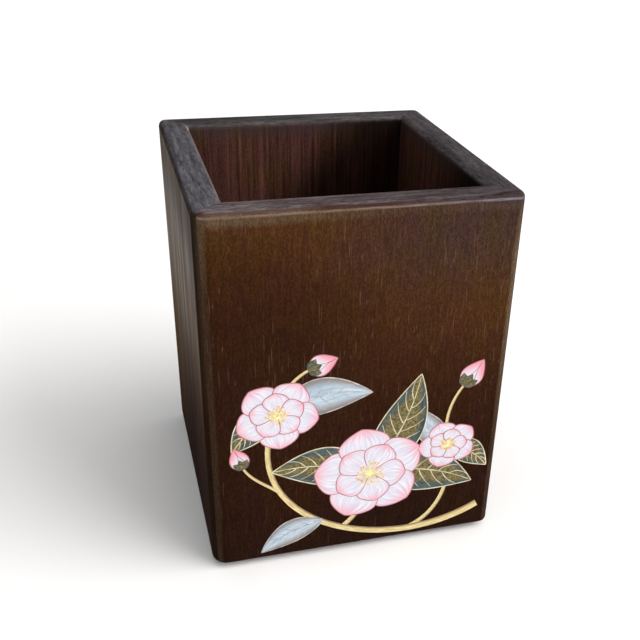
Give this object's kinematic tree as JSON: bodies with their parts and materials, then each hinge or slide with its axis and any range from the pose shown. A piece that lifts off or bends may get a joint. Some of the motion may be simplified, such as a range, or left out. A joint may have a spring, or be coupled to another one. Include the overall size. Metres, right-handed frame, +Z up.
{
  "type": "pen holder cup",
  "caption": "Square open-topped wooden pen holder cup with mitred walls, rounded edges, a let-in base, rubber feet and a printed blossom branch on the front.",
  "frame": {"origin": "on the resting plane, under the middle of the cup", "axes": "+Z up towards the open rim, -Y out of the printed front, +X to the right of someone facing the front"},
  "size_m": [0.08, 0.0821, 0.102],
  "materials": {
    "wall_wood": "dark walnut stain under satin lacquer, vertical grain with fine pale pores",
    "base_wood": "dark walnut stain, matt",
    "spline_wood": "bare hardwood",
    "foot_rubber": "matt black rubber",
    "branch_ink": "satin pale gold ink",
    "leaf_ink": "satin teal and olive ink with pale veins",
    "pale_leaf_ink": "satin pale blue-grey ink",
    "petal_ink": "satin white ink shading to pink",
    "bud_ink": "satin pink ink",
    "stamen_ink": "satin golden yellow ink"
  },
  "bodies": {
    "root": {"front_wall": "wall_wood", "back_wall": "wall_wood", "left_wall": "wall_wood", "right_wall": "wall_wood", "base_panel": "base_wood", "spline_front_left": "spline_wood", "spline_front_right": "spline_wood", "spline_back_left": "spline_wood", "spline_back_right": "spline_wood", "foot_front_left": "foot_rubber", "foot_front_right": "foot_rubber", "foot_back_left": "foot_rubber", "foot_back_right": "foot_rubber", "print_branch": "branch_ink", "print_leaves": "leaf_ink", "print_pale_leaves": "pale_leaf_ink", "print_petals": "petal_ink", "print_buds": "bud_ink", "print_stamens": "stamen_ink"}
  },
  "joints": []
}
